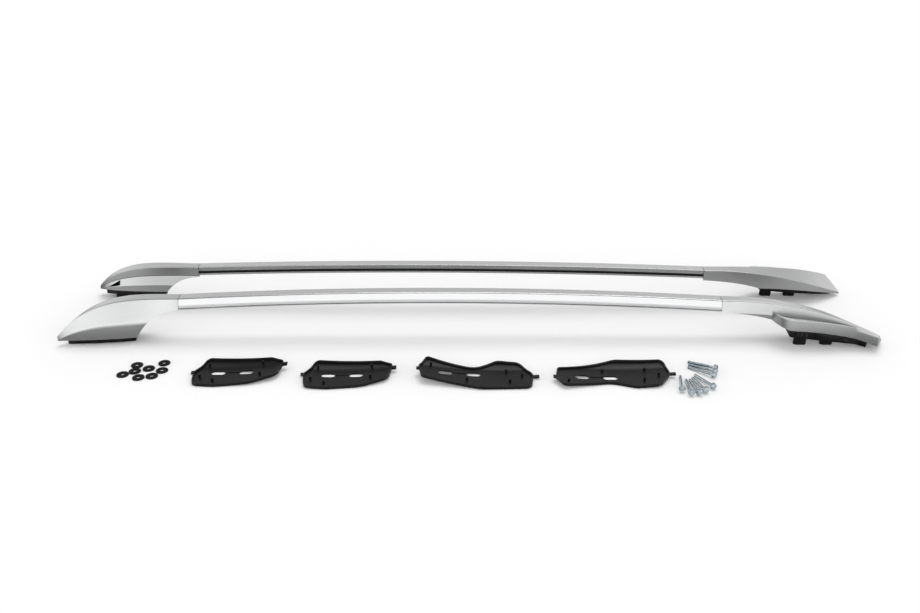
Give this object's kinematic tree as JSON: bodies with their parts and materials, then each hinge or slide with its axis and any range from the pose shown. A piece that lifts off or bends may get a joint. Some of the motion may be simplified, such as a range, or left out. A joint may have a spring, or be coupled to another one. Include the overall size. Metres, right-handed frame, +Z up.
{
  "type": "roof side rail pair",
  "caption": "Pair of arched roof side rails with moulded end feet, laid out with their base pads, sealing washers and flange bolts; carries roof bars or straps on a car.",
  "frame": {"origin": "middle of the set's footprint on the floor that the rails' bosses stand on", "axes": "+X along the rails from their front ends to their rear ends, +Y from the pads to the right rail, +Z up"},
  "size_m": [1.75, 0.515, 0.103],
  "materials": {
    "bar_silver": "satin anodised silver",
    "foot_silver": "satin silver paint on moulded plastic",
    "black_plastic": "moulded, fine grain",
    "pad_rubber": "moulded, satin",
    "black_rubber": "matte",
    "brass_insert": "turned",
    "zinc_steel": "bright zinc plating"
  },
  "bodies": {
    "root": {"flange_bolts": "zinc_steel", "left_bar": "bar_silver", "left_front_carrier": "black_plastic", "left_front_foot": "foot_silver", "left_front_pad": "pad_rubber", "left_groove_strip": "black_rubber", "left_rear_carrier": "black_plastic", "left_rear_foot": "foot_silver", "left_rear_pad": "pad_rubber", "left_spigot_screws": "zinc_steel", "left_threaded_inserts": "brass_insert", "right_bar": "bar_silver", "right_front_carrier": "black_plastic", "right_front_foot": "foot_silver", "right_front_pad": "pad_rubber", "right_groove_strip": "black_rubber", "right_rear_carrier": "black_plastic", "right_rear_foot": "foot_silver", "right_rear_pad": "pad_rubber", "right_spigot_screws": "zinc_steel", "right_threaded_inserts": "brass_insert", "sealing_washers": "black_rubber"}
  },
  "joints": []
}
